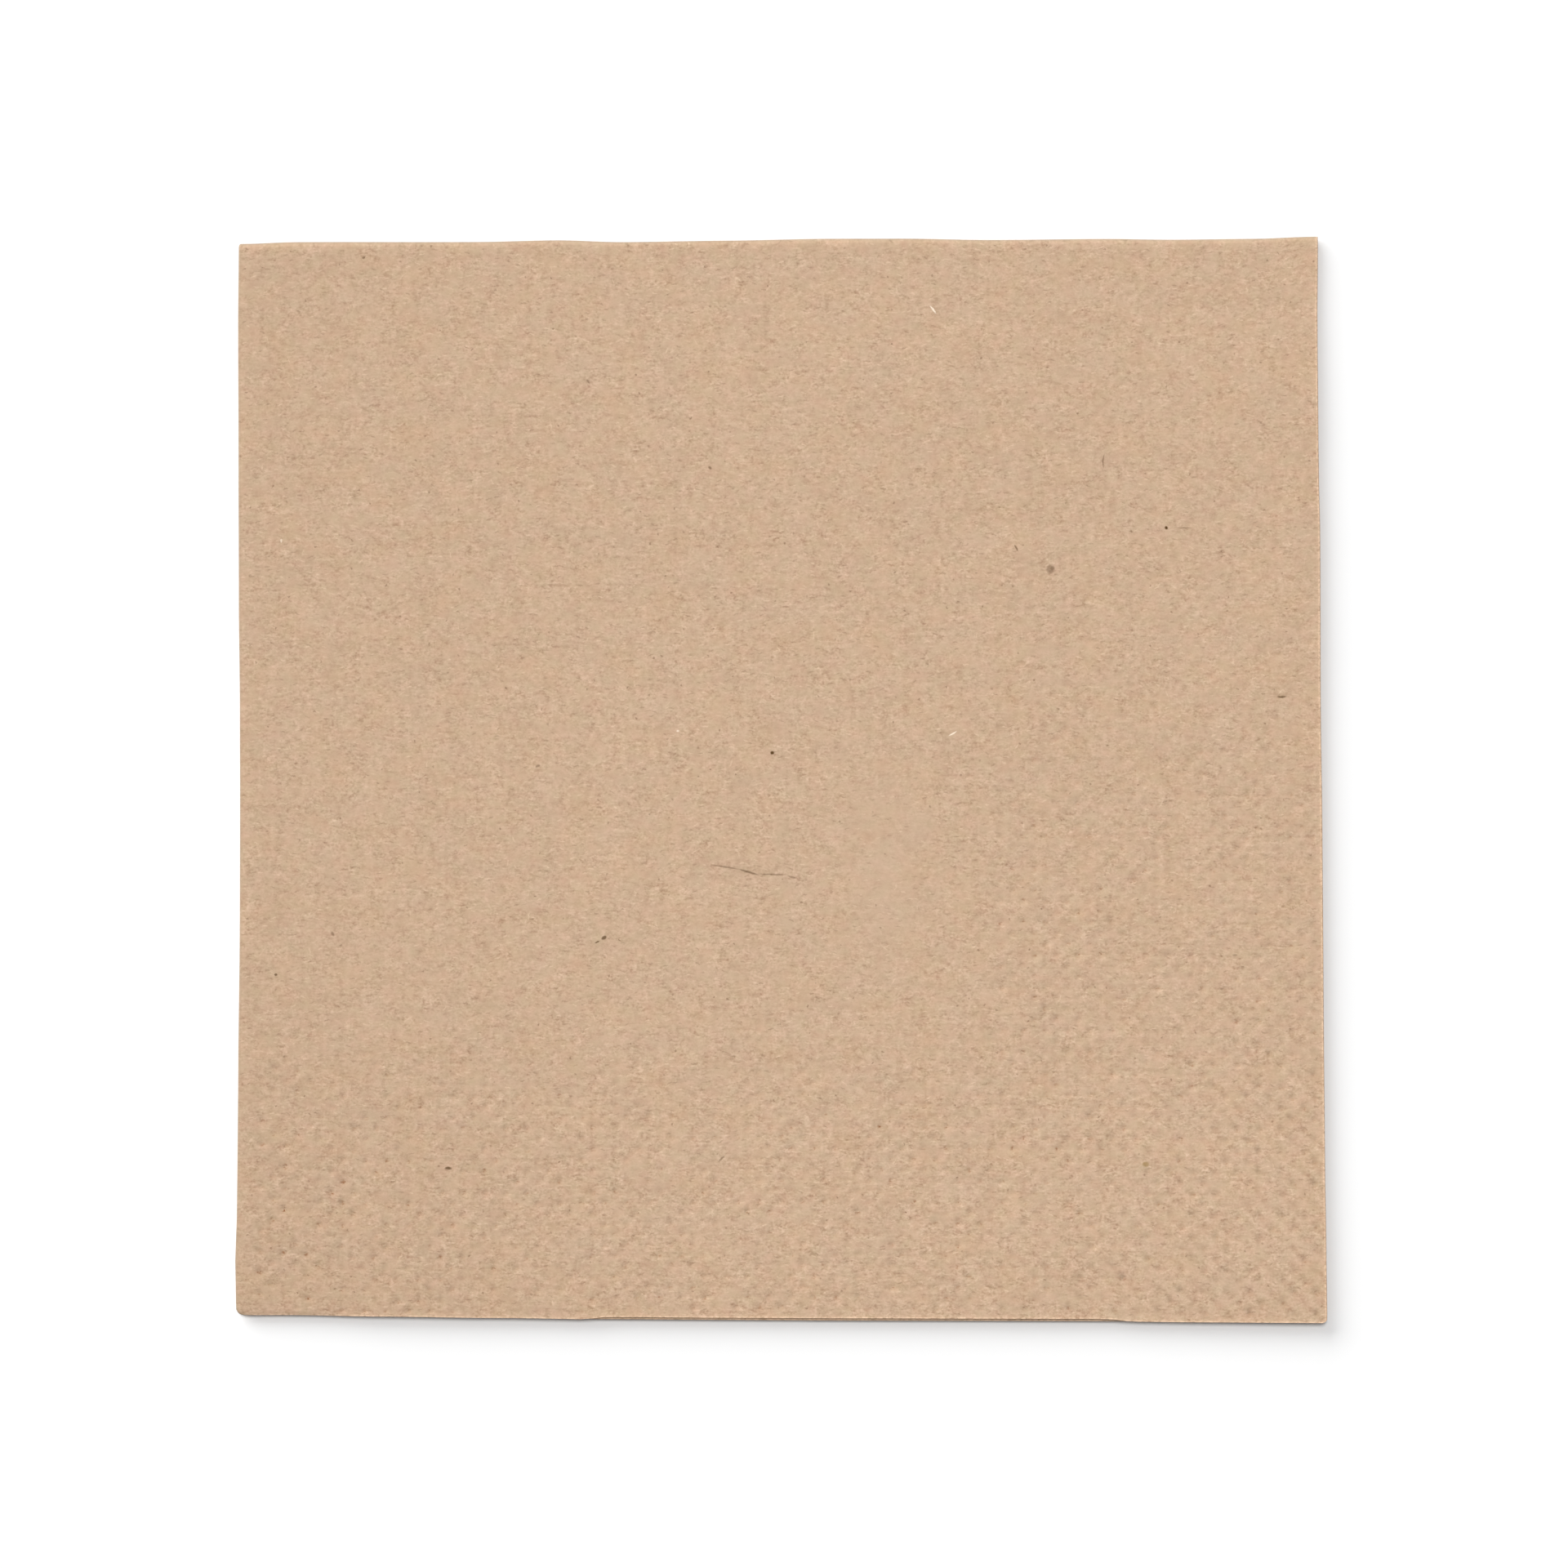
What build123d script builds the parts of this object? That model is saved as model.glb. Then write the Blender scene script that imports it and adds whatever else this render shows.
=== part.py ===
from build123d import *
import math
import os

# A square paper napkin, folded in half and then in half again, lying flat.
#
# X runs from the first fold, on the left, to the open edges on the right. Y runs from the open edges at the
# front to the second fold at the back. Z is up. The origin is the centre of the underside.
# All sizes are in millimetres.

# The sheet, laid open
SHEET_ACROSS = 254.0  # along X, across the first fold
SHEET_ALONG = 254.0  # along Y, across the second fold
PAPER_THICKNESS = 0.20  # soft crepe tissue, with its loft
CUT_CORNER_RADIUS = 0.45  # worn corners of the cut sheet

# The folds: the air left inside each bend
FIRST_FOLD_GAP = 0.12  # between the two layers of a pair
SECOND_FOLD_GAP = 0.22  # between the lower pair and the upper pair

# How far the halves miss each other at the open edges
FIRST_FOLD_MISS = 0.15  # the inner layers reach this much further right than the outer ones
SECOND_FOLD_MISS = 0.25  # the lower pair reaches this much further forward than the upper pair

# Heights and bend radii that follow from the paper and the folds
pair_height = 2 * PAPER_THICKNESS + FIRST_FOLD_GAP
packet_height = 2 * pair_height + SECOND_FOLD_GAP
first_inner_radius = FIRST_FOLD_GAP / 2
first_outer_radius = first_inner_radius + PAPER_THICKNESS
second_inner_radius = SECOND_FOLD_GAP / 2
second_outer_radius = second_inner_radius + pair_height


def flat_lengths(sheet, bend_radius, miss):
    """The long and the short flat length that one fold leaves of a sheet, measured on the middle of the paper."""
    both = sheet - math.pi * bend_radius
    return (both + miss) / 2, (both - miss) / 2


inner_flat, outer_flat = flat_lengths(
    SHEET_ACROSS, (first_inner_radius + first_outer_radius) / 2, FIRST_FOLD_MISS
)
lower_flat, upper_flat = flat_lengths(
    SHEET_ALONG, (second_inner_radius + second_outer_radius) / 2, SECOND_FOLD_MISS
)

# The packet's outline, and the lines that the folds bend about
packet_width = first_outer_radius + inner_flat
packet_depth = second_outer_radius + lower_flat
first_fold_x = -packet_width / 2 + first_outer_radius
second_fold_y = packet_depth / 2 - second_outer_radius


def layer_section(length, bottom):
    """One flat layer of the section, from the first fold's line to its own cut edge."""
    corner = Pos(first_fold_x, bottom)
    return corner * Rectangle(length, PAPER_THICKNESS, align=(Align.MIN, Align.MIN))


def first_fold_section():
    """The half ring of paper that joins a pair's two layers at the left."""
    ring = Circle(first_outer_radius) - Circle(first_inner_radius)
    left_half = Rectangle(
        first_outer_radius, 2 * first_outer_radius, align=(Align.MAX, Align.CENTER)
    )
    return Pos(first_fold_x, pair_height / 2) * (ring & left_half)


def pair_section():
    """The sheet after its first fold, cut across: the outer layer below and the inner layer above."""
    outer_layer = layer_section(outer_flat, 0)
    inner_layer = layer_section(inner_flat, PAPER_THICKNESS + FIRST_FOLD_GAP)
    return outer_layer + inner_layer + first_fold_section()


# The section stands in a plane across Y, at the line where the second fold begins
section_plane = Plane(origin=(0, second_fold_y, 0), x_dir=(1, 0, 0), z_dir=(0, -1, 0))
section = section_plane * pair_section()

# The lower pair runs forward from the second fold, the bend turns the same section over, and the upper pair
# runs forward again on top
second_fold_line = Axis((0, second_fold_y, packet_height / 2), (1, 0, 0))
lower_pair = extrude(section, amount=lower_flat, dir=(0, -1, 0))
bend = revolve(section, axis=second_fold_line, revolution_arc=180)
turned_section = section.rotate(second_fold_line, 180)
upper_pair = extrude(turned_section, amount=upper_flat, dir=(0, -1, 0))
napkin = lower_pair + bend + upper_pair

# The sheet's four cut corners lie on each other at the front right
cut_corners = [
    edge
    for edge in napkin.edges().filter_by(Axis.Z)
    if edge.center().X > 0 and edge.center().Y < 0
]
napkin = fillet(cut_corners, CUT_CORNER_RADIUS)
napkin.label = "napkin"

os.makedirs("parts", exist_ok=True)
export_step(napkin, "parts/napkin.step")

box = napkin.bounding_box()
print("solids", len(napkin.solids()), "valid", napkin.is_valid)
print("size", round(box.size.X, 3), round(box.size.Y, 3), round(box.size.Z, 3))
print("volume", round(napkin.volume, 1), "sheet volume", SHEET_ACROSS * SHEET_ALONG * PAPER_THICKNESS)
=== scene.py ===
import math
import random

import bmesh
import bpy
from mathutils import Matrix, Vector, noise


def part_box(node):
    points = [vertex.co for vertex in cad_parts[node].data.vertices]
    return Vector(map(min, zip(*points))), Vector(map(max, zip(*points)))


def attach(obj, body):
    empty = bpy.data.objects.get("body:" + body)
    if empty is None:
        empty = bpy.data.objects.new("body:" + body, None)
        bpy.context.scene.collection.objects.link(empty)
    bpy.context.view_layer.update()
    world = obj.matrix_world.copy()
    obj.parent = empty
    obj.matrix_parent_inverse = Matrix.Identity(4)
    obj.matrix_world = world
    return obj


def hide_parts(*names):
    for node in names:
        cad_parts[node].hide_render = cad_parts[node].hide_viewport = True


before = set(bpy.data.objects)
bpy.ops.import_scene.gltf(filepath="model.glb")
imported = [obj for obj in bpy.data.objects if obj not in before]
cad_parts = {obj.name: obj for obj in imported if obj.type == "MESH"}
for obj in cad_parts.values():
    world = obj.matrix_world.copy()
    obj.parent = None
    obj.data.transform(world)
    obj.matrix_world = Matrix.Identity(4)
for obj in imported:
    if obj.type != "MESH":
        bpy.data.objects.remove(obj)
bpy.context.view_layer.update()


# ----------------------------------------------------------------------------------------------------
# The sheet, cut square from a web of brown crepe tissue and still flat, outer side down. The half that
# ends up outside, on top and underneath, is drawn finely on its outer side to carry the embossing.
# ----------------------------------------------------------------------------------------------------
MM = 0.001
paper_thickness = 0.20 * MM
first_fold_gap = 0.12 * MM
second_fold_gap = 0.22 * MM
pair_height = 2 * paper_thickness + first_fold_gap

packet_low, packet_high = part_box("napkin")
first_fold_x = packet_low.x + first_fold_gap / 2 + paper_thickness
second_fold_y = packet_high.y - second_fold_gap / 2 - pair_height
first_bend = (first_fold_gap + paper_thickness) / 2  # radius of the middle of the paper
second_bend = (second_fold_gap + pair_height) / 2  # radius of the middle of a pair
flat_across = packet_high.x - first_fold_x  # from the first fold to the open edges
flat_along = second_fold_y - packet_low.y  # from the second fold to the open edges

half_pitch_across = 1.295 * MM  # the embossing rollers' pattern, at half its pitch
half_pitch_along = 1.2725 * MM
bare_margin = 1.25 * MM  # from a cut edge to the first row of dots
rows = 96  # half pitches, over most of a layer
coarse_step = 4  # half pitches in one step of the sides that fold shut
bend_steps = 8
margin_steps = (0.10 * MM, 0.30 * MM, 0.65 * MM)  # lines close to each cut edge, which can curl there

inner_end = -(math.pi * first_bend + flat_across)
inner_fold = -math.pi * first_bend
outer_end = flat_across
outer_start = outer_end - bare_margin
outer_stop = outer_start - rows * half_pitch_across
lower_end = -flat_along
lower_start = lower_end + bare_margin
lower_stop = lower_start + rows * half_pitch_along
upper_fold = math.pi * second_bend
upper_end = upper_fold + flat_along
upper_start = upper_end - bare_margin
upper_stop = upper_start - rows * half_pitch_along

sheet = bmesh.new()
flat_map = sheet.loops.layers.uv.new("flat_sheet")
pressed_by = sheet.verts.layers.float.new("embossed")
sheet_size = Vector((outer_end - inner_end, upper_end - lower_end, paper_thickness))
sheet_middle = Vector(((outer_end + inner_end) / 2, (upper_end + lower_end) / 2, 0))
bmesh.ops.create_cube(sheet, size=1.0)
bmesh.ops.scale(sheet, vec=sheet_size, verts=sheet.verts)
bmesh.ops.translate(sheet, vec=sheet_middle, verts=sheet.verts)


def crease(place, direction):
    """Draws a line right across both sides of the flat sheet."""
    everything = sheet.verts[:] + sheet.edges[:] + sheet.faces[:]
    bmesh.ops.bisect_plane(
        sheet, geom=everything, dist=1e-9, plane_co=direction * place, plane_no=direction
    )


def divide(direction, start, stop, steps):
    """Divides the stretch between two creases into equal steps, on both sides of the sheet."""
    crossing = []
    for edge in sheet.edges:
        near, far = sorted(vert.co.dot(direction) for vert in edge.verts)
        if abs(near - start) < 1e-6 and abs(far - stop) < 1e-6:
            crossing.append(edge)
    bmesh.ops.subdivide_edges(sheet, edges=crossing, cuts=steps - 1, use_grid_fill=True)


across, along = Vector((1, 0, 0)), Vector((0, 1, 0))
for place in (inner_fold, 0.0, outer_stop, outer_start):
    crease(place, across)
for place in (lower_start, lower_stop, 0.0, upper_fold, upper_stop, upper_start):
    crease(place, along)
for step in margin_steps:
    crease(inner_end + step, across)
    crease(outer_end - step, across)
    crease(lower_end + step, along)
    crease(upper_end - step, along)
coarse_rows = rows // coarse_step
divide(across, inner_end + margin_steps[-1], inner_fold, coarse_rows)
divide(across, inner_fold, 0.0, bend_steps)
divide(across, outer_stop, outer_start, coarse_rows)
divide(along, lower_start, lower_stop, coarse_rows)
divide(along, 0.0, upper_fold, bend_steps)
divide(along, upper_stop, upper_start, coarse_rows)

longest_fine_edge = 2 * max(half_pitch_across, half_pitch_along)
fine_edges = {
    edge
    for face in sheet.faces
    if face.normal.z < -0.5 and face.calc_center_median().x > 0
    for edge in face.edges
    if edge.calc_length() > longest_fine_edge
}
bmesh.ops.subdivide_edges(
    sheet, edges=list(fine_edges), cuts=coarse_step - 1, use_grid_fill=True
)


# ----------------------------------------------------------------------------------------------------
# The embossed border: a band of small dots rolled into the tissue along its cut edges, which grips its
# plies together. They stand in staggered rows, each pressed a little differently and some hardly at all,
# and towards the front right corner the paper is pulled slantwise between them.
# ----------------------------------------------------------------------------------------------------
border_rows = 28  # half pitches across the band
dot_radius = 0.52 * MM
dot_floor_radius = 0.30 * MM
dot_depth = 0.075 * MM
pillow_height = 0.03 * MM  # the paper stands up between the dots
dot_wobble = 0.09 * MM  # how far a dot may stand from its place in the rows
slant_reach = 45 * MM  # the pull is felt this far from the front right corner
slant = 0.3
softest_press, press_spread = 0.05, 0.97  # a dot's own share of the rollers' pressure
chance = random.Random(11)


def ease(value, start, stop):
    """A smooth rise from 0 at start to 1 at stop."""
    share = min(1.0, max(0.0, (value - start) / (stop - start)))
    return share * share * (3 - 2 * share)


def through(knots, value):
    """A smooth line through a few (place, offset) pairs, all in millimetres."""
    if value <= knots[0][0]:
        return knots[0][1]
    for (start, low), (stop, high) in zip(knots, knots[1:]):
        if value <= stop:
            return low + (high - low) * ease(value, start, stop)
    return knots[-1][1]


def lattice_place(point):
    """How many half pitches a point of the flat sheet lies from the first dots at its two cut edges."""
    column = (outer_start - point.x) / half_pitch_across
    if point.y > 0:
        return column, (upper_start - point.y) / half_pitch_along
    return column, (point.y - lower_start) / half_pitch_along


def roller_pressure(column, row):
    """How hard the rollers pressed: hardest at the left end of the front edge, a little softer in the
    front right corner, and ever softer up the right-hand band."""
    front = 1 - ease(row, 0.45 * border_rows, 1.2 * border_rows)
    front *= 1 + 0.35 * ease(column, 2.4 * border_rows, 3.2 * border_rows)
    side = 1 - 0.68 * ease(row, 0.7 * border_rows, 3.0 * border_rows)
    from_corner = max(ease(row, 0.3 * border_rows, 0.9 * border_rows),
                      ease(column, 0.4 * border_rows, 1.3 * border_rows))
    return max(front, side if column <= border_rows else 0.0) * (0.86 + 0.14 * from_corner)


# How far the rows of dots stray from a true lattice, for places from the packet's middle, in millimetres
stray_across = ((-63, 0.60), (-44, 0.60), (-24, 0.12), (-14, 0.22), (4, 0.0), (38, -0.10), (60, 0.2))
stray_along = ((-63, -0.70), (-50, -0.68), (-34, -0.50), (-12, -0.12), (4, 0.0), (34, -0.13), (60, -0.33))
stray_upwards = 0.007  # more and more towards the front on the way up the right-hand band


def stray(point):
    """How far a point of the top layer is shifted in the flat sheet with the pattern it carries."""
    x = (point.x + first_fold_x - (packet_low.x + packet_high.x) / 2) / MM
    from_front = (upper_end - point.y) / MM
    fade = ease(outer_end - point.x, 0, bare_margin) * ease(upper_end - point.y, 0, bare_margin)
    fade *= ease(point.x, 0, 12 * MM) * ease(point.y, upper_fold, upper_fold + 12 * MM)
    shift_y = through(stray_along, x) - stray_upwards * min(from_front, 60)
    return Vector((through(stray_across, x), -shift_y, 0)) * fade * MM


def pulled(arm, middle):
    """Stretches a dot's outline slantwise, from the back left to the front right."""
    from_corner = math.hypot(outer_end - middle.x, upper_end - middle.y)
    share = slant * (1 - ease(from_corner, 0.5 * slant_reach, slant_reach)) if middle.y > 0 else 0.0
    # On the upper half the flat sheet is still turned over, so its y grows towards the front
    slantwise = Vector((1, 1, 0)).normalized()
    return arm + slantwise * arm.dot(slantwise) * share


def nearest_dot(point):
    """The lattice numbers of the dot nearest to a point, and which half of the sheet it is in."""
    column, row = lattice_place(point)
    return round(column), round(row), point.y > 0


def dot_middle(column, row, upper):
    """Where a dot stands on the outer side of the flat sheet."""
    x = outer_start - column * half_pitch_across
    y = upper_start - row * half_pitch_along if upper else lower_start + row * half_pitch_along
    return Vector((x, y, -paper_thickness / 2))


pressure = {}
dot_verts = []
for vert in sheet.verts:
    column, row, upper = number = nearest_dot(vert.co)
    on_lattice = (vert.co - dot_middle(*number)).length < 0.01 * MM
    in_border = 0 <= min(column, row) <= border_rows and max(column, row) < rows
    if not (on_lattice and in_border):
        continue
    press = roller_pressure(column, row) * (softest_press + press_spread * chance.random())
    if (column + row) % 2:
        vert.co.z -= pillow_height * press
    else:
        pressure[number] = press
        dot_verts.append(vert)

dots = bmesh.ops.bevel(
    sheet, geom=dot_verts, offset=dot_radius, offset_type="OFFSET", segments=2,
    profile=0.5, affect="VERTICES", material=-1, clamp_overlap=False,
)
for vert in dots["verts"]:
    middle = dot_middle(*nearest_dot(vert.co))
    arm = vert.co - middle
    if arm.length > 0.05 * MM:
        vert.co = middle + arm.normalized() * dot_radius * chance.uniform(0.85, 1.05)

upper_dots = [face for face in dots["faces"] if face.calc_center_median().y > 0]
lower_dots = [face for face in dots["faces"] if face.calc_center_median().y < 0]
bmesh.ops.inset_region(
    sheet, faces=upper_dots, thickness=dot_radius - dot_floor_radius,
    use_even_offset=True, use_boundary=True,
)
for vert in {vert for face in upper_dots for vert in face.verts}:
    number = nearest_dot(vert.co)
    from_middle = (vert.co - dot_middle(*number)).length
    share = 1.0 if from_middle < 0.05 * MM else 0.7
    vert.co.z += dot_depth * pressure[number] * share
    vert[pressed_by] = pressure[number] * share
for vert in {vert for face in lower_dots for vert in face.verts}:
    number = nearest_dot(vert.co)
    if (vert.co - dot_middle(*number)).length < 0.05 * MM:
        vert.co.z += dot_depth * pressure[number]
        vert[pressed_by] = pressure[number]

wobble = {
    number: Vector((chance.uniform(-1, 1), chance.uniform(-1, 1), 0)) * dot_wobble for number in pressure
}
for vert in {vert for face in upper_dots for vert in face.verts}:
    number = nearest_dot(vert.co)
    middle = dot_middle(*number)
    vert.co = middle + wobble[number] + pulled(vert.co - middle, middle)

for vert in sheet.verts:
    if vert.co.y > upper_fold:
        vert.co += stray(vert.co)

# The flat sheet's own map, kept through the folding: one unit is the whole sheet each way
for face in sheet.faces:
    for loop in face.loops:
        place = loop.vert.co
        loop[flat_map].uv = (
            (place.x - inner_end) / sheet_size.x,
            (place.y - lower_end) / sheet_size.y,
        )


# ----------------------------------------------------------------------------------------------------
# The two folds. The sheet is turned over on itself at the left, and the pair is turned over again at
# the back. Creased paper springs a little, so the four layers part towards their open edges.
# ----------------------------------------------------------------------------------------------------
def turn_over(place, height, radius):
    """Bends a strip over a fold. place is how far past the fold's start a point lies, and height how far
    it stands off the line that keeps its length. Returns its new place and its height above that line."""
    if place <= 0:
        return place, height
    angle = min(place / radius, math.pi)
    past = max(0.0, place - math.pi * radius)
    return (radius - height) * math.sin(angle) - past, radius - (radius - height) * math.cos(angle)


def fold(point):
    """Takes a point of the flat sheet to its place in the folded packet."""
    leftward, z = turn_over(-point.x, point.z, first_bend)
    backward, z = turn_over(point.y, z - first_bend, second_bend)
    return Vector(
        (
            first_fold_x - leftward,
            second_fold_y + backward,
            packet_low.z + pair_height / 2 + z,
        )
    )


for vert in sheet.verts:
    vert.co = fold(vert.co)


# How far each side of the packet stands off a true square, outwards or inwards, along its length
back_side = ((-63, -0.16), (-57, 0.02), (-35, -0.08), (-26, 0.06), (-18, -0.20), (-6, -0.10),
             (6, 0.05), (14, 0.02), (26, -0.21), (38, -0.16), (47, -0.30), (56, -0.25), (63, -0.04))
front_side = ((-63, 0.50), (-57, 0.53), (-47, 0.41), (-33, 0.26), (-20, 0.11), (-6, 0.04), (8, 0.0),
              (38, -0.02), (50, -0.10), (63, -0.15))
left_side = ((-63, -0.30), (-58, -0.42), (-50, -0.21), (-35, -0.13), (-18, 0.01), (-4, 0.01),
             (8, -0.05), (22, -0.22), (38, -0.30), (55, -0.39), (63, -0.33))
right_side = ((-63, 0.43), (-55, 0.37), (-45, 0.27), (-25, 0.20), (-5, 0.16), (8, 0.04), (28, 0.08),
              (38, -0.07), (53, -0.11), (63, 0.0))


def out_of_square(point):
    """Moves a point as the packet's own sides wander from a true square."""
    x, y = point.x / MM, point.y / MM
    share_x = (point.x - packet_low.x) / (packet_high.x - packet_low.x)
    share_y = (point.y - packet_low.y) / (packet_high.y - packet_low.y)
    shift_x = through(left_side, y) * (1 - share_x) + through(right_side, y) * share_x
    shift_y = through(front_side, x) * (1 - share_y) + through(back_side, x) * share_y
    return Vector((point.x + shift_x * MM, point.y + shift_y * MM, point.z))


# Which of the four layers reaches further at the open edges. Along the middle of the front the top
# layer stops short, and the edge of the one below it shows.
right_reach = {0: -0.12, 1: 0.0, 2: -0.02, 3: -0.14}
front_reach = {0: -0.22, 1: -0.10, 2: -0.02, 3: -0.02}
bared_edge = 0.28
bared_from, bared_to, bared_taper = -20 * MM, 38 * MM, 3 * MM
edge_taper = 30 * MM

# How far each layer springs off the one below, in millimetres, and more towards the open edges. The folds
# hold the layers together this far in.
layer_spring, edge_spring = 0.04, 0.06
fold_hold_start, fold_hold_stop = 1 * MM, 22 * MM

# The top layer's cut edges curl up a hair, but the pressed left end of the front one is bent down
curl_reach = margin_steps[-1]
curl_height, curl_pressed = 0.05, 0.14  # in millimetres
pressed_from, pressed_to = packet_low.x + 9 * MM, packet_low.x + 16 * MM

# The left front corner is rounded where its fold was pressed, and the right one is cut round
soft_corner = 0.85 * MM
cut_corner = 0.45 * MM


def layer_of(point):
    """0 for the lowest layer to 3 for the top one."""
    step = (packet_high.z - packet_low.z) / 4
    return min(3, max(0, int((point.z - packet_low.z) / step)))


def gap_share(z, gap_floor, gap):
    """0 below a gap, 1 above it."""
    return min(1.0, max(0.0, (z - gap_floor) / gap))


def wander(x, y, size, seed):
    """A smooth random height from -1 to 1, with bumps about size across."""
    return noise.noise(Vector((x / size, y / size, seed)))


def cut_back(from_front, from_side, radius):
    """How far a side steps in beside a rounded front corner."""
    if from_front >= radius:
        return 0.0
    step = radius - math.sqrt(radius**2 - (radius - from_front) ** 2)
    return step * (1 - ease(from_side, 0, 4 * radius))


lowest_gap = packet_low.z + paper_thickness
middle_gap = packet_low.z + pair_height
top_gap = middle_gap + second_fold_gap + paper_thickness
for vert in sheet.verts:
    x, y, z = vert.co
    layer = layer_of(vert.co)
    from_left, from_right = max(0.0, x - packet_low.x), max(0.0, packet_high.x - x)
    from_front = max(0.0, y - packet_low.y)
    near_front = 1 - ease(from_front, 0, edge_taper)
    near_right = 1 - ease(from_right, 0, edge_taper)
    off_left = ease(from_left, fold_hold_start, fold_hold_stop)
    off_back = 1 - ease(y, packet_high.y - fold_hold_stop, packet_high.y - fold_hold_start)
    loose = off_left * off_back
    spring = layer_spring + edge_spring * near_right + edge_spring * near_front
    lift = (
        gap_share(z, lowest_gap, first_fold_gap) * (spring + 0.05 * wander(x, y, 0.03, 1.0))
        + gap_share(z, middle_gap, second_fold_gap) * (1.4 * spring + 0.08 * wander(x, y, 0.025, 2.0))
        + gap_share(z, top_gap, first_fold_gap) * (spring + 0.05 * wander(x, y, 0.02, 3.0))
    )
    roll = 0.05 * (1 + wander(x, y, 0.04, 4.0))
    vert.co.z += (loose * max(0.0, lift) + roll) * MM
    vert.co.x += right_reach[layer] * near_right**4 * MM
    bared = ease(x, bared_from - bared_taper, bared_from)
    bared *= 1 - ease(x, bared_to, bared_to + bared_taper)
    if layer == 3:
        front_step = front_reach[layer] - bared_edge * bared
        pressed_down = 1 - ease(x, pressed_from, pressed_to)
        curl = curl_height * max(0.0, 1 - from_right / curl_reach) ** 2
        front_curl = curl_height - curl_pressed * pressed_down
        curl += front_curl * max(0.0, 1 - from_front / curl_reach) ** 2
        vert.co.z += curl * MM
    else:
        front_step = front_reach[layer]
    vert.co.y -= front_step * near_front**4 * MM
    vert.co.x += cut_back(from_front, from_left, soft_corner)
    vert.co.x -= cut_back(from_front, from_right, cut_corner)
    vert.co = out_of_square(vert.co)

lowest = min(vert.co.z for vert in sheet.verts)
bmesh.ops.translate(sheet, vec=(0, 0, packet_low.z - lowest), verts=sheet.verts)
bmesh.ops.recalc_face_normals(sheet, faces=sheet.faces)

napkin_mesh = bpy.data.meshes.new("napkin_sheet")
sheet.to_mesh(napkin_mesh)
sheet.free()
napkin_mesh.shade_smooth()
napkin_mesh.set_sharp_from_angle(angle=math.radians(50))
napkin = bpy.data.objects.new("napkin_sheet", napkin_mesh)
bpy.context.scene.collection.objects.link(napkin)


# ----------------------------------------------------------------------------------------------------
# The paper: unbleached recycled tissue. Creping gives it fine ridges that run across the web, its pulp
# is cloudy, and pale and dark fibres and a few specks of bark lie in it.
# ----------------------------------------------------------------------------------------------------
def display(red, green, blue):
    """A colour given as it looks on a display, from 0 to 255, as the light it stands for."""
    return tuple(((c / 255 + 0.055) / 1.055) ** 2.4 for c in (red, green, blue)) + (1.0,)


paper = bpy.data.materials.new("brown_tissue")
paper.use_nodes = True
tree = paper.node_tree
tree.nodes.clear()


def node(kind, tree=tree, **settings):
    """A shader node, with its own settings by name and its inputs' values by number or name."""
    made = tree.nodes.new(kind)
    for name, value in settings.items():
        if name == "inputs":
            for key, number in value.items():
                made.inputs[key].default_value = number
        else:
            setattr(made, name, value)
    return made


def join(source, target, tree=tree):
    tree.links.new(source, target)


def maths(operation, a, b=None, clamp=False, tree=tree):
    """One sum of two values, each a number or another node's output."""
    made = node("ShaderNodeMath", tree=tree, operation=operation, use_clamp=clamp)
    for socket, value in zip(made.inputs, (a, b)):
        if value is None:
            continue
        if isinstance(value, (int, float)):
            socket.default_value = value
        else:
            join(value, socket, tree=tree)
    return made.outputs[0]


def sockets(group, made, *inputs):
    """Names a group's one output and its inputs, with the inputs' usual values."""
    group.interface.new_socket(made, in_out="OUTPUT", socket_type="NodeSocketFloat")
    for name, value in inputs:
        kind = "NodeSocketFloat" if isinstance(value, float) else "NodeSocketVector"
        socket = group.interface.new_socket(name, in_out="INPUT", socket_type=kind)
        socket.default_value = value


def vector_maths(operation, a, b, tree=tree):
    """One sum of two vectors, each three numbers or another node's output."""
    made = node("ShaderNodeVectorMath", tree=tree, operation=operation)
    for socket, value in zip(made.inputs, (a, b)):
        if isinstance(value, tuple):
            socket.default_value = value
        else:
            join(value, socket, tree=tree)
    return made.outputs[0]


def turned(place, angle, tree=tree):
    """A place turned about the upright axis through the origin."""
    made = node("ShaderNodeVectorRotate", tree=tree, rotation_type="Z_AXIS")
    join(place, made.inputs["Vector"], tree=tree)
    join(angle, made.inputs["Angle"], tree=tree)
    return made.outputs[0]


def oval(place, bow, tree):
    """1 inside a soft-edged oval of half width 1 about the origin, bowed sideways, and 0 outside it."""
    parts = node("ShaderNodeSeparateXYZ", tree=tree)
    join(place, parts.inputs[0], tree=tree)
    x, y = parts.outputs[0], parts.outputs[1]
    aside = maths("SUBTRACT", y, maths("MULTIPLY", maths("MULTIPLY", x, x, tree=tree), bow, tree=tree),
                  tree=tree)
    squares = maths("ADD", maths("MULTIPLY", x, x, tree=tree),
                    maths("MULTIPLY", aside, aside, tree=tree), tree=tree)
    from_middle = maths("SQRT", squares, tree=tree)
    edge = node("ShaderNodeMapRange", tree=tree, interpolation_type="SMOOTHSTEP",
                inputs={"From Min": 0.55, "From Max": 1.25, "To Min": 1.0, "To Max": 0.0})
    join(from_middle, edge.inputs["Value"], tree=tree)
    return edge.outputs[0]


# A scatter of short fibres, one to a cell, each turned, bowed and as strong as chance has it
scatter = bpy.data.node_groups.new("loose_fibres", "ShaderNodeTree")
sockets(scatter, "Mask", ("Place", (0.0, 0.0, 0.0)), ("Cell", 1.0), ("Reach", (3.0, 12.0, 0.0)),
        ("Bow", 1.0), ("Turn", math.pi), ("Share", 0.5))


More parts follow.
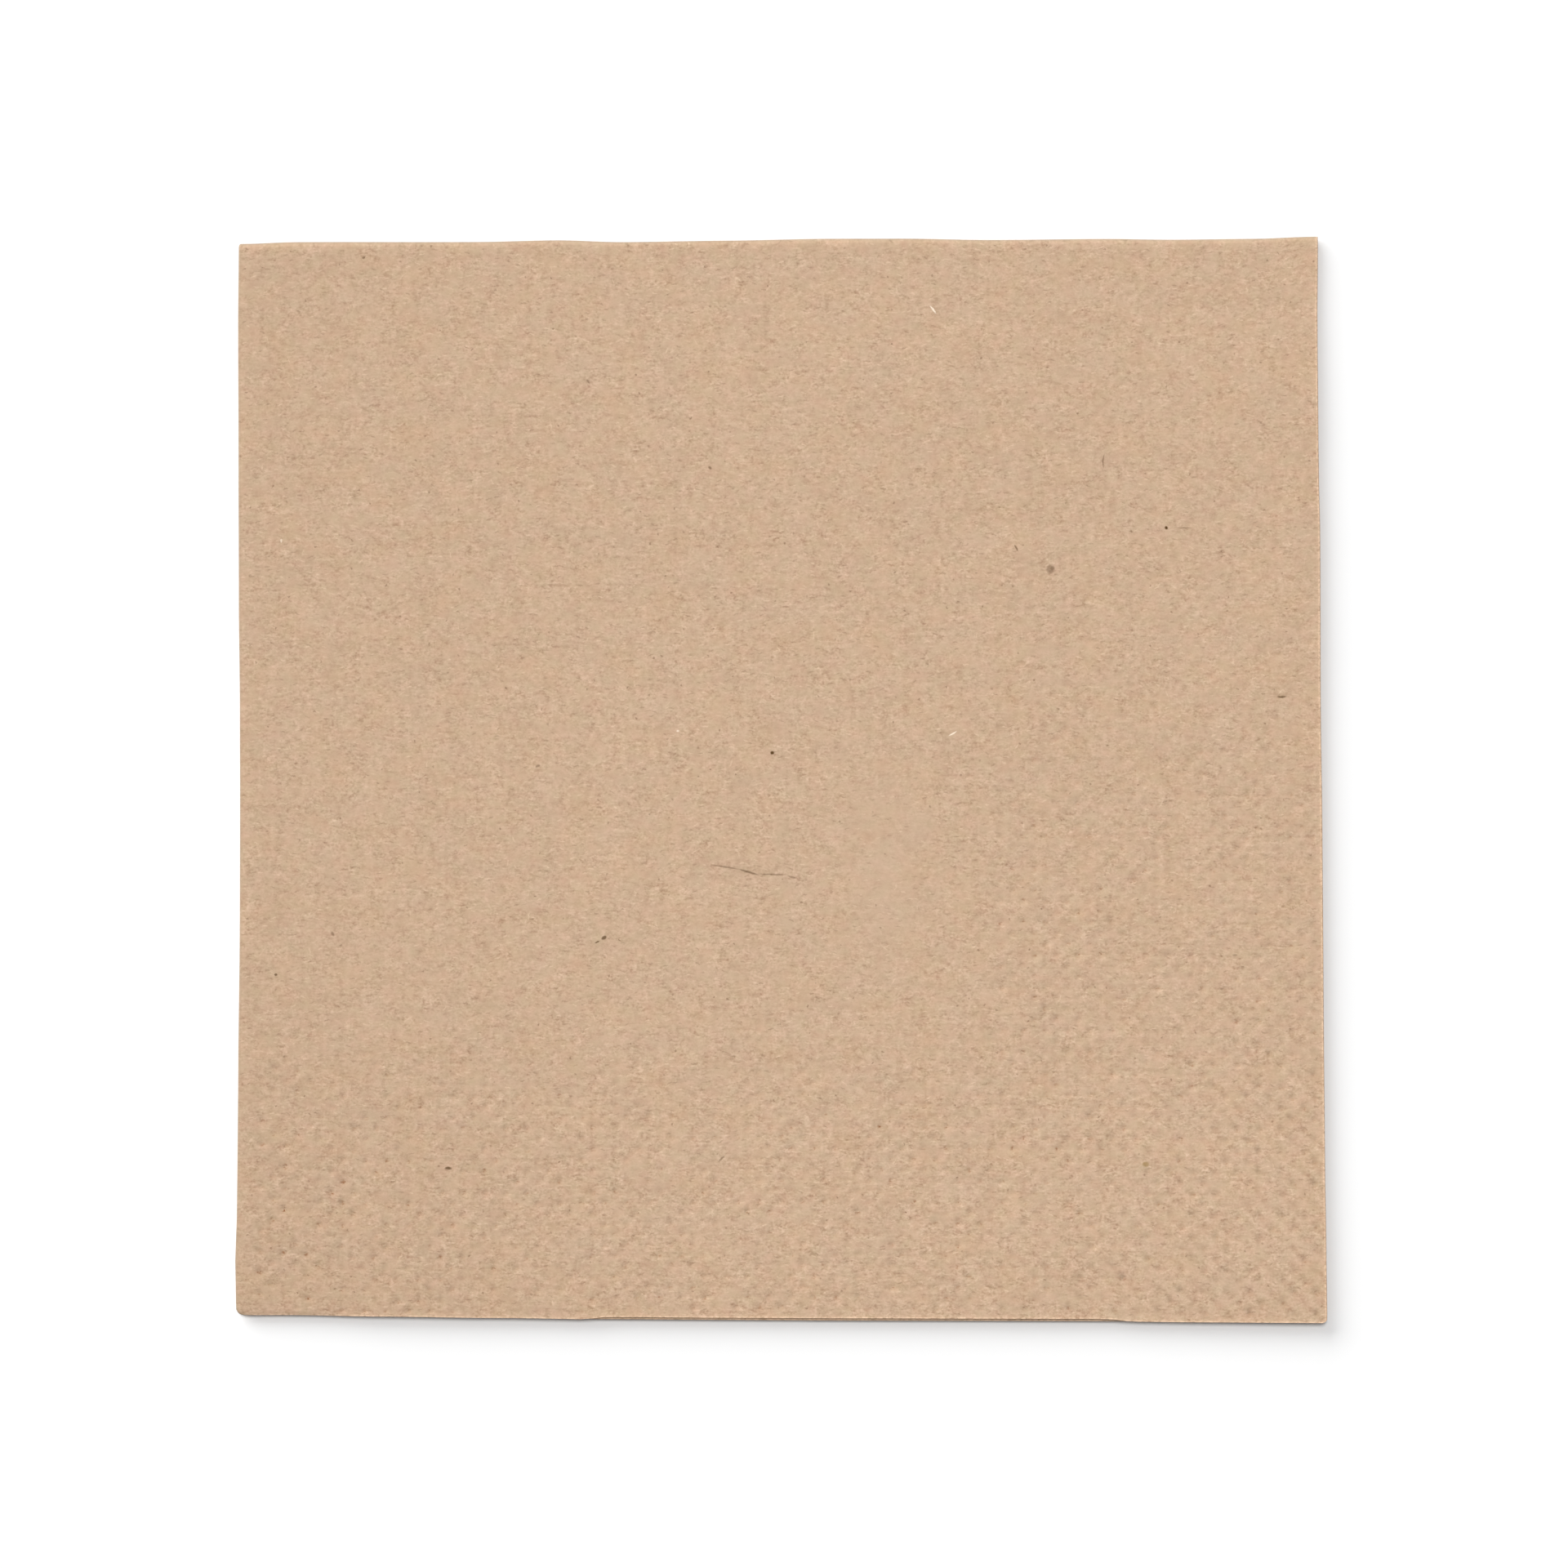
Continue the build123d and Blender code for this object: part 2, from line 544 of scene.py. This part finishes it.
def build_scatter(tree):
    entry = node("NodeGroupInput", tree=tree)
    cells = node("ShaderNodeTexVoronoi", tree=tree, voronoi_dimensions="2D", feature="F1",
                 inputs={"Randomness": 0.85})
    join(entry.outputs["Place"], cells.inputs["Vector"], tree=tree)
    join(maths("DIVIDE", 1.0, entry.outputs["Cell"], tree=tree), cells.inputs["Scale"], tree=tree)
    lot = node("ShaderNodeSeparateColor", tree=tree)
    join(cells.outputs["Color"], lot.inputs[0], tree=tree)
    arm = vector_maths("SUBTRACT", entry.outputs["Place"], cells.outputs["Position"], tree=tree)
    angle = maths("MULTIPLY", maths("SUBTRACT", lot.outputs[0], 0.5, tree=tree),
                  entry.outputs["Turn"], tree=tree)
    bow = maths("MULTIPLY", maths("SUBTRACT", lot.outputs[1], 0.5, tree=tree),
                entry.outputs["Bow"], tree=tree)
    arm = vector_maths("MULTIPLY", turned(arm, angle, tree=tree), entry.outputs["Reach"], tree=tree)
    strength = maths("SUBTRACT", 1.0, maths("DIVIDE", lot.outputs[2], entry.outputs["Share"],
                                            tree=tree), clamp=True, tree=tree)
    leave = node("NodeGroupOutput", tree=tree)
    join(maths("MULTIPLY", oval(arm, bow, tree), strength, tree=tree), leave.inputs[0], tree=tree)


build_scatter(scatter)

# One mark in the pulp, a speck or a fibre, at its own place
single = bpy.data.node_groups.new("pulp_mark", "ShaderNodeTree")
sockets(single, "Mask", ("Place", (0.0, 0.0, 0.0)), ("Centre", (0.0, 0.0, 0.0)),
        ("Reach", (3.0, 12.0, 0.0)), ("Bow", 0.0), ("Turn", 0.0))


def build_single(tree):
    entry = node("NodeGroupInput", tree=tree)
    arm = vector_maths("SUBTRACT", entry.outputs["Place"], entry.outputs["Centre"], tree=tree)
    arm = vector_maths("MULTIPLY", turned(arm, entry.outputs["Turn"], tree=tree),
                       entry.outputs["Reach"], tree=tree)
    leave = node("NodeGroupOutput", tree=tree)
    join(oval(arm, entry.outputs["Bow"], tree), leave.inputs[0], tree=tree)


build_single(single)

flat = node("ShaderNodeUVMap", uv_map="flat_sheet")
place = vector_maths("MULTIPLY", flat.outputs[0], (sheet_size.x / MM, sheet_size.y / MM, 0.0))


def cloud(size_x, size_y, detail=2.0, roughness=0.5, distortion=0.0, shift=0.0):
    """Noise from -0.5 to 0.5, whose patches are about size_x by size_y millimetres."""
    stretch = node("ShaderNodeMapping", inputs={"Location": (shift, 2.3 * shift, 0),
                                                "Scale": (1 / size_x, 1 / size_y, 1)})
    join(place, stretch.inputs["Vector"])
    made = node("ShaderNodeTexNoise", noise_dimensions="2D",
                inputs={"Scale": 1.0, "Detail": detail, "Roughness": roughness,
                        "Distortion": distortion})
    join(stretch.outputs[0], made.inputs["Vector"])
    return maths("SUBTRACT", made.outputs[0], 0.5)


# The same places, tugged about a little, so that no speck or fibre has a neat outline
tug = node("ShaderNodeTexNoise", noise_dimensions="2D", inputs={"Scale": 4.0, "Detail": 2.0})
join(place, tug.inputs["Vector"])
tugged = vector_maths("MULTIPLY", vector_maths("SUBTRACT", tug.outputs["Color"], (0.5, 0.5, 0.5)),
                      (0.34, 0.28, 0.0))
ragged = vector_maths("ADD", place, tugged)
less_ragged = vector_maths("ADD", place, vector_maths("MULTIPLY", tugged, (0.4, 0.4, 0.0)))


def fibres(cell, length, width, bow, turn, share, shift):
    """A scatter of fibres: lengths and widths in millimetres, one fibre to a cell."""
    made = node("ShaderNodeGroup", node_tree=scatter,
                inputs={"Cell": cell, "Reach": (2 / length, 2 / width, 0), "Bow": bow, "Turn": turn,
                        "Share": share})
    join(vector_maths("ADD", ragged, (shift, 1.7 * shift, 0)), made.inputs["Place"])
    return made.outputs[0]


def add_up(*terms):
    """The sum of several (weight, value) terms."""
    total = None
    for weight, value in terms:
        part = maths("MULTIPLY", value, weight)
        total = part if total is None else maths("ADD", total, part)
    return total


def blend(below, above, share):
    """Lays one colour over another."""
    made = node("ShaderNodeMix", data_type="RGBA", inputs={7: above})
    join(below, made.inputs[6])
    join(share, made.inputs[0])
    return made.outputs[2]


# Marks that single this sheet out, on its top, are lists of their places from the packet's middle, length,
# width, turn from the rightward line in degrees, bow and strength
top_left = (packet_low.x + packet_high.x) / 2 - first_fold_x - inner_end
top_back = upper_fold + second_fold_y - (packet_low.y + packet_high.y) / 2 - lower_end


def marked(marks):
    """Where a list of marks lies on the sheet, from 0 to 1."""
    total = None
    for x, y, length, width, turn, bow, strength in marks:
        drawn = 2 * Vector((x, y, 0)) - out_of_square(Vector((x, y, 0)) * MM) / MM
        centre = (top_left / MM + drawn.x, top_back / MM - drawn.y, 0)
        made = node("ShaderNodeGroup", node_tree=single,
                    inputs={"Centre": centre, "Reach": (2 / length, 2 / width, 0), "Bow": bow,
                            "Turn": math.radians(turn)})
        join(less_ragged, made.inputs["Place"])
        part = maths("MULTIPLY", made.outputs[0], strength)
        total = part if total is None else maths("MAXIMUM", total, part)
    return total


crepe = cloud(0.46, 0.29, detail=2.0, roughness=0.6, distortion=0.3)
crepe_long = cloud(1.2, 0.40, detail=2.0, roughness=0.6, distortion=0.3, shift=31)
grain = cloud(0.27, 0.24, detail=2.0, roughness=0.5, shift=17)
pulp = cloud(0.9, 0.8, detail=2.0, roughness=0.5, shift=5)
drift = cloud(3.6, 3.2, detail=2.0, shift=9)
patches = cloud(2.4, 1.9, detail=2.0, shift=57)
tint = cloud(2.0, 1.7, detail=2.0, shift=71)
warmth = cloud(5.0, 4.0, detail=2.0, shift=93)

# Painted shade: the top is darkened a little along the first fold and the front edge, and most at its
# front left corner, where the light falls off
flat_place = node("ShaderNodeSeparateXYZ")
join(place, flat_place.inputs[0])
from_first_fold = maths("ABSOLUTE", maths("ADD", flat_place.outputs[0], inner_end / MM))
from_front_edge = maths("SUBTRACT", sheet_size.y / MM, flat_place.outputs[1])


def fading(distance, reach):
    """1 at no distance, easing to 0 at reach, in millimetres."""
    made = node("ShaderNodeMapRange", interpolation_type="SMOOTHSTEP",
                inputs={"From Min": 0.0, "From Max": reach, "To Min": 1.0, "To Max": 0.0})
    join(distance, made.inputs["Value"])
    return made.outputs[0]


def apart(a, b):
    """How far a place lies from a corner, from its distances to the corner's two sides."""
    return maths("SQRT", maths("ADD", maths("MULTIPLY", a, a), maths("MULTIPLY", b, b)))


at_corner = fading(apart(from_first_fold, from_front_edge), 60.0)
painted_falloff_shade = add_up(
    (0.035, fading(from_first_fold, 55.0)), (0.06, at_corner), (0.02, fading(from_front_edge, 12.0)),
)
roughened = maths("MAXIMUM", maths("ADD", maths("MULTIPLY", patches, 3.0), 1.0), 0.3)
# The rollers have roughened the pulp a little more along the front
front_roughness = maths("ADD", maths("MULTIPLY", fading(from_front_edge, 45.0), 0.18), 1.0)
roughened = maths("MULTIPLY", roughened, front_roughness)

# An upright patch a little right of the middle is rubbed smooth and looks greyer
rubbed = marked(((12.6, -10.0, 12.0, 25.0, 0, 0.0, 1.0),))
roughened = maths("MULTIPLY", roughened, maths("SUBTRACT", 1.0, maths("MULTIPLY", rubbed, 0.45)))

pale_flecks = maths("MAXIMUM", fibres(0.8, 0.7, 0.14, 0.3, 0.9, 0.5, 3.0),
                    fibres(2.4, 0.9, 0.13, 0.8, math.pi, 0.35, 40.0))
dark_flecks = maths("MAXIMUM", fibres(1.0, 0.7, 0.16, 0.3, 0.9, 0.5, 80.0),
                    maths("MULTIPLY", fibres(2.6, 0.30, 0.20, 0.3, math.pi, 0.45, 120.0), 1.8))

dark_brown = display(96, 70, 48)
low_brown = display(165, 133, 107)
mid_brown = display(193, 164, 136.5)
pale_brown = display(233, 202, 176)

fine = add_up((0.28, crepe), (0.21, crepe_long), (0.23, grain), (0.15, pulp))

# Painted shade of faint furrows that slant between the dots where the paper is pulled towards the front
# right corner
pitch_across, pitch_along = 2 * half_pitch_across / MM, 2 * half_pitch_along / MM
first_across = (outer_start - inner_end) / MM + 0.1
first_along = (upper_start - lower_end) / MM + 0.2
columns_across = maths("DIVIDE", maths("SUBTRACT", flat_place.outputs[0], first_across), pitch_across)
rows_along = maths("DIVIDE", maths("SUBTRACT", flat_place.outputs[1], first_along), pitch_along)
turns = maths("SUBTRACT", columns_across, rows_along)
from_right_edge = maths("SUBTRACT", sheet_size.x / MM, flat_place.outputs[0])
furrow_shade = maths("MULTIPLY", maths("COSINE", maths("MULTIPLY", turns, 2 * math.pi)),
                fading(apart(from_right_edge, from_front_edge), 50.0))
# The tone carries the painted furrow shade
tone = add_up((1.0, maths("MULTIPLY", fine, roughened)), (0.12, pulp), (0.14, drift), (-0.033, furrow_shade))
ramp = node("ShaderNodeValToRGB")
ramp.color_ramp.interpolation = "LINEAR"
ramp.color_ramp.elements[0].position = 0.0
ramp.color_ramp.elements[0].color = dark_brown
ramp.color_ramp.elements[1].position = 1.0
ramp.color_ramp.elements[1].color = pale_brown
for position, shade in ((0.27, low_brown), (0.5, mid_brown)):
    ramp.color_ramp.elements.new(position).color = shade
join(maths("ADD", tone, 0.5, clamp=True), ramp.inputs[0])

colour = blend(ramp.outputs[0], display(208, 163, 142),
               maths("MULTIPLY", maths("MAXIMUM", tint, 0.0), 0.7))
colour = blend(colour, display(186, 172, 136),
               maths("MULTIPLY", maths("MAXIMUM", maths("MULTIPLY", tint, -1.0), 0.0), 0.7))
colour = blend(colour, display(206, 166, 122),
               maths("MULTIPLY", maths("MAXIMUM", warmth, 0.0), 0.4))
colour = blend(colour, display(188, 168, 150),
               maths("MULTIPLY", maths("MAXIMUM", maths("MULTIPLY", warmth, -1.0), 0.0), 0.4))
colour = blend(colour, display(234, 206, 176), maths("MULTIPLY", pale_flecks, 0.36))
colour = blend(colour, display(110, 80, 54), maths("MULTIPLY", dark_flecks, 0.32))

# Specks of bark and resin, dark fibres, the hairline crease near the middle drawn dark as painted shade,
# and pale lint
dark_marks_and_crease_shade = (
    (32.0, 24.4, 1.00, 1.12, 0, 0.0, 0.50),
    (32.2, 24.5, 0.55, 0.60, 0, 0.0, 0.62),
    (-20.5, -18.8, 0.72, 0.44, 30, 0.0, 0.82),
    (-21.3, -19.3, 0.62, 0.22, 25, 0.0, 0.80),
    (-38.8, -45.8, 0.86, 0.38, 0, 0.2, 0.82),
    (59.1, 9.3, 1.15, 0.28, 0, -0.3, 0.75),
    (-0.7, 2.9, 0.48, 0.42, 0, 0.0, 1.00),
    (-6.7, -44.7, 1.10, 0.26, 45, 0.0, 0.50),
    (45.6, 29.2, 0.42, 0.40, 0, 0.0, 1.00),
    (47.7, 29.2, 1.80, 0.16, 0, 0.3, 0.42),
    (-28.3, 1.4, 0.65, 0.30, 25, 0.0, 0.50),
    (-52.5, -18.3, 0.60, 0.36, -60, 0.0, 0.50),
    (-59.2, -23.1, 0.40, 0.34, 0, 0.0, 0.80),
    (-8.0, 36.5, 0.50, 0.32, -40, 0.0, 0.60),
    (53.4, -20.9, 0.65, 0.32, 0, 0.0, 0.35),
    (-49.0, 61.6, 0.38, 0.34, 0, 0.0, 0.60),
    (-22.4, 46.8, 0.65, 0.28, -55, 0.0, 0.45),
    (38.2, 37.1, 1.80, 0.17, 86, 1.6, 0.55),
    (28.0, 26.9, 0.95, 0.22, -60, 0.0, 0.60),
    # The hairline crease near the middle: painted shade along it
    (-6.2, -10.5, 3.30, 0.23, -9, 0.4, 0.46),
    (-3.5, -11.1, 2.60, 0.27, -17, 0.0, 0.60),
    (-0.7, -11.4, 3.30, 0.21, -2, -0.3, 0.48),
    (1.6, -11.7, 1.20, 0.24, -15, 0.0, 0.42),
    (42.9, -46.3, 0.55, 0.50, 0, 0.0, 0.18),
)
resin = ((42.9, -45.3, 0.85, 0.60, 0, 0.0, 0.60),)
lint = (
    (18.3, 55.1, 1.20, 0.22, -52, 0.3, 0.75),
    (20.5, 5.1, 1.10, 0.19, 30, 0.0, 0.70),
    (-11.8, 5.5, 0.35, 0.25, 0, 0.0, 0.60),
    (-58.7, 28.1, 0.50, 0.22, 90, 0.0, 0.50),
)
colour = blend(colour, display(88, 62, 30), marked(dark_marks_and_crease_shade))
colour = blend(colour, display(142, 112, 52), marked(resin))
colour = blend(colour, display(252, 236, 214), marked(lint))

# The bottom of a dot is darker, as much as the pulp there lets it: partly the pressed fibre's own colour,
# partly painted shade in the hollow
pressed = node("ShaderNodeAttribute", attribute_name="embossed")
dot_fibre_and_shade = maths("MULTIPLY", pressed.outputs["Fac"],
                maths("ADD", add_up((2.4, crepe), (1.0, grain), (0.8, pulp)), 0.12), clamp=True)
colour = blend(colour, display(124, 70, 8), dot_fibre_and_shade)
colour = blend(colour, display(202, 174, 149), maths("MULTIPLY", rubbed, 0.14))
# Painted shade of the light falling off towards the first fold, the front edge and the front left corner
colour = blend(colour, display(120, 92, 66), painted_falloff_shade)

# Painted shade right on the folds, over the outer half of each bend, which greys the colour there
fold_fade = 0.30
from_fold = None
for side, start, stop in ((flat_place.outputs[0], inner_fold - inner_end, -inner_end),
                          (flat_place.outputs[1], -lower_end, upper_fold - lower_end)):
    aside = maths("ABSOLUTE", maths("SUBTRACT", side, (start + stop) / 2 / MM))
    aside = maths("SUBTRACT", aside, (stop - start) / 4 / MM)
    from_fold = aside if from_fold is None else maths("MINIMUM", from_fold, aside)
fold_shade = maths("SUBTRACT", 0.7, maths("DIVIDE", from_fold, fold_fade), clamp=True)
colour = blend(colour, display(150, 134, 114), maths("MULTIPLY", fold_shade, 0.7))

# A pale warm rim along the cut edges: partly loose fibre, partly painted light glowing through the thin
# paper there
rim_width = 0.22
from_cut = None
for side, size in ((flat_place.outputs[0], sheet_size.x), (flat_place.outputs[1], sheet_size.y)):
    nearer = maths("MINIMUM", side, maths("SUBTRACT", size / MM, side))
    from_cut = nearer if from_cut is None else maths("MINIMUM", from_cut, nearer)
rim_fibre_and_glow = maths("SUBTRACT", 1.0, maths("DIVIDE", from_cut, rim_width), clamp=True)
rim_fibre_and_glow = maths("MULTIPLY", rim_fibre_and_glow, maths("ADD", maths("MULTIPLY", crepe, 1.8), 0.35), clamp=True)
colour = blend(colour, display(246, 212, 180), rim_fibre_and_glow)

bump_height = add_up((0.7, crepe), (0.5, crepe_long), (0.3, grain), (0.3, pulp), (0.1, pale_flecks))
relief = node("ShaderNodeBump", inputs={"Strength": 0.5, "Distance": 0.03 * MM})
join(bump_height, relief.inputs["Height"])

surface = node("ShaderNodeBsdfPrincipled",
               inputs={"Roughness": 0.92, "Specular IOR Level": 0.25})
join(colour, surface.inputs["Base Color"])
join(relief.outputs[0], surface.inputs["Normal"])
output = node("ShaderNodeOutputMaterial")
join(surface.outputs[0], output.inputs[0])
napkin_mesh.materials.append(paper)

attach(napkin, "root")
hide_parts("napkin")


# ----------------------------------------------------------------------------------------------------
# The studio: a plain white table, a broad soft light overhead and a lower one from the back left, which
# rakes the embossing and lays a short soft shadow at the right and the front.
# ----------------------------------------------------------------------------------------------------
table_mesh = bpy.data.meshes.new("table")
table_shape = bmesh.new()
bmesh.ops.create_grid(table_shape, x_segments=1, y_segments=1, size=3.0)
table_shape.to_mesh(table_mesh)
table_shape.free()
table = bpy.data.objects.new("table", table_mesh)
bpy.context.scene.collection.objects.link(table)
white = bpy.data.materials.new("white_table")
white.use_nodes = True
white_surface = white.node_tree.nodes["Principled BSDF"]
white_surface.inputs["Base Color"].default_value = (0.92, 0.92, 0.92, 1)
white_surface.inputs["Roughness"].default_value = 0.9
white_surface.inputs["Specular IOR Level"].default_value = 0.0
table_mesh.materials.append(white)


def soft_light(name, strength, spread, azimuth, elevation):
    """A broad lamp far off, as wide across as spread. azimuth is the side it shines from, turned from
    the right towards the back, and elevation its height above the table, all in degrees."""
    lamp = bpy.data.lights.new(name, "SUN")
    lamp.energy = strength
    lamp.angle = math.radians(spread)
    holder = bpy.data.objects.new(name, lamp)
    turn, rise = math.radians(azimuth), math.radians(elevation)
    away = Vector((math.cos(turn) * math.cos(rise), math.sin(turn) * math.cos(rise), math.sin(rise)))
    holder.location = away
    holder.rotation_mode = "QUATERNION"
    holder.rotation_quaternion = away.to_track_quat("Z", "Y")
    bpy.context.scene.collection.objects.link(holder)


soft_light("overhead_light", 1.71, 16, 97, 76)
soft_light("raking_light", 3.68, 60, 130, 20)

world = bpy.data.worlds.new("studio")
bpy.context.scene.world = world
world.use_nodes = True
world.node_tree.nodes["Background"].inputs[0].default_value = (1, 1, 1, 1)
world.node_tree.nodes["Background"].inputs[1].default_value = 0.21
bpy.context.scene.view_settings.view_transform = "Standard"


# ----------------------------------------------------------------------------------------------------
# The camera looks almost straight down from half a metre, a touch from the front and the right.
# ----------------------------------------------------------------------------------------------------
camera_data = bpy.data.cameras.new("camera")
camera_data.sensor_width = 36.0
camera_data.lens = 99.4
camera = bpy.data.objects.new("camera", camera_data)
camera.location = Vector((15.99, -16.69, 509.45)) * MM
camera.rotation_euler = (math.radians(1.792), math.radians(1.729), math.radians(-0.064))
camera_data.clip_start = 0.01
bpy.context.scene.collection.objects.link(camera)
bpy.context.scene.camera = camera
